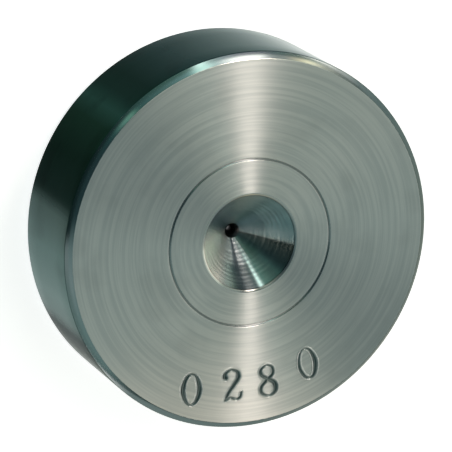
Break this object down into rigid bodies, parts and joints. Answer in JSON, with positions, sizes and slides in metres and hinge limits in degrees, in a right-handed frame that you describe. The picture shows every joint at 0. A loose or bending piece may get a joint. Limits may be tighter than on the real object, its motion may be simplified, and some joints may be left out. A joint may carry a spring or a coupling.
{
  "type": "wire drawing die",
  "caption": "Round wire drawing die: a steel casing with a pressed-in entry cone over a diamond nib whose fine hole draws round wire down to size.",
  "frame": {"origin": "centre of the back face, where the drawn wire leaves the die", "axes": "+Z is the die's axis, from the back face to the entry face; the die is turned, so X and Y are any two directions across it"},
  "size_m": [0.025, 0.025, 0.008],
  "materials": {
    "casing_steel": "stainless steel, face turned to fine concentric lines, rim smooth and dark",
    "plug_steel": "same steel, faced with the casing; its cone is polished, with faint turned ribs",
    "diamond": "polycrystalline diamond, near black, lapped and polished in the hole",
    "sintered_metal": "sintered bronze powder, dull, hidden inside"
  },
  "bodies": {
    "root": {"casing": "casing_steel", "entry_plug": "plug_steel", "nib": "diamond", "nib_bed": "sintered_metal"}
  },
  "joints": []
}
